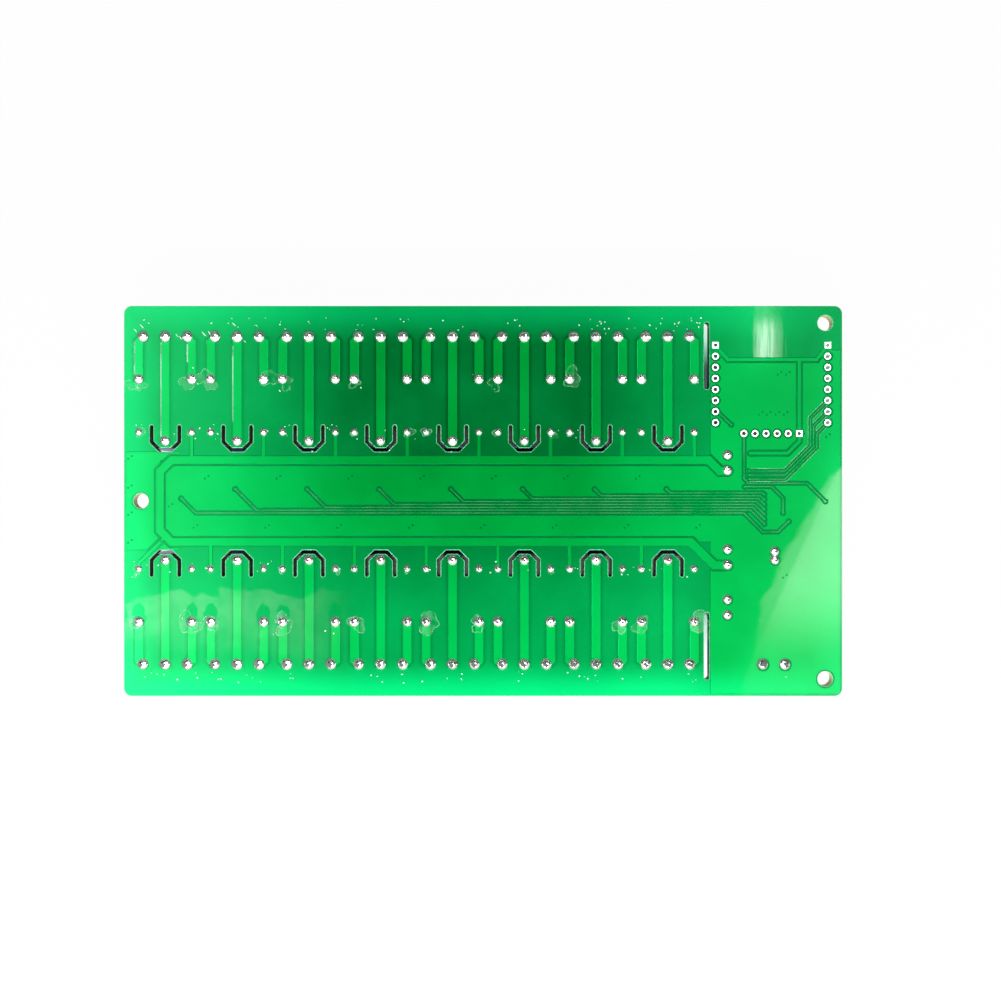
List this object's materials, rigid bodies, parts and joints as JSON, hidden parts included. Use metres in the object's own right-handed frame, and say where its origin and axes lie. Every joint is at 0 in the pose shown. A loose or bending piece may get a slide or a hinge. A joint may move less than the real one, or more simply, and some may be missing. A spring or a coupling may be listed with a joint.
{
  "type": "wifi relay board",
  "caption": "Green circuit board with two rows of sealed relays and screw terminals, a wifi control bay, milled isolation slots and bright solder joints on its upper face.",
  "frame": {"origin": "on the rest plane, under the middle of the board", "axes": "+X towards the wifi end, +Y towards one long edge, +Z out of the solder side"},
  "size_m": [0.165, 0.0896, 0.0185],
  "materials": {
    "board_mask": "green solder mask over glass-epoxy laminate",
    "foil_mask": "green solder mask over copper foil",
    "relay_case": "blue moulded case",
    "terminal_plastic": "blue moulded nylon",
    "solder": "bright tin solder",
    "pin_metal": "tinned copper",
    "capacitor_sleeve": "black shrink sleeve",
    "module_board": "dark blue solder mask",
    "shield_metal": "plated steel can",
    "chip_resin": "moulded resin",
    "lamp_lens": "clear resin",
    "choke_ferrite": "moulded ferrite powder"
  },
  "bodies": {
    "root": {"capacitor_leads": "pin_metal", "capacitor_solder_joints": "solder", "capacitors": "capacitor_sleeve", "circuit_board": "board_mask", "coil_solder_joints": "solder", "contact_solder_joints": "solder", "contact_tracks": "foil_mask", "converter_chip": "chip_resin", "converter_inductor": "choke_ferrite", "driver_transistors": "chip_resin", "flyback_diodes": "chip_resin", "ground_pour": "foil_mask", "indicator_lamps": "lamp_lens", "input_rectifier": "chip_resin", "power_terminal_block": "terminal_plastic", "relay_01": "relay_case", "relay_02": "relay_case", "relay_03": "relay_case", "relay_04": "relay_case", "relay_05": "relay_case", "relay_06": "relay_case", "relay_07": "relay_case", "relay_08": "relay_case", "relay_09": "relay_case", "relay_10": "relay_case", "relay_11": "relay_case", "relay_12": "relay_case", "relay_13": "relay_case", "relay_14": "relay_case", "relay_15": "relay_case", "relay_16": "relay_case", "relay_coil_pins": "pin_metal", "relay_contact_pins": "pin_metal", "shift_registers": "chip_resin", "supply_rails": "foil_mask", "terminal_block_01": "terminal_plastic", "terminal_block_02": "terminal_plastic", "terminal_block_03": "terminal_plastic", "terminal_block_04": "terminal_plastic", "terminal_block_05": "terminal_plastic", "terminal_block_06": "terminal_plastic", "terminal_block_07": "terminal_plastic", "terminal_block_08": "terminal_plastic", "terminal_block_09": "terminal_plastic", "terminal_block_10": "terminal_plastic", "terminal_block_11": "terminal_plastic", "terminal_block_12": "terminal_plastic", "terminal_block_13": "terminal_plastic", "terminal_block_14": "terminal_plastic", "terminal_block_15": "terminal_plastic", "terminal_block_16": "terminal_plastic", "terminal_pins": "pin_metal", "terminal_solder_joints": "solder", "wifi_module_board": "module_board", "wifi_module_shield": "shield_metal"}
  },
  "joints": []
}
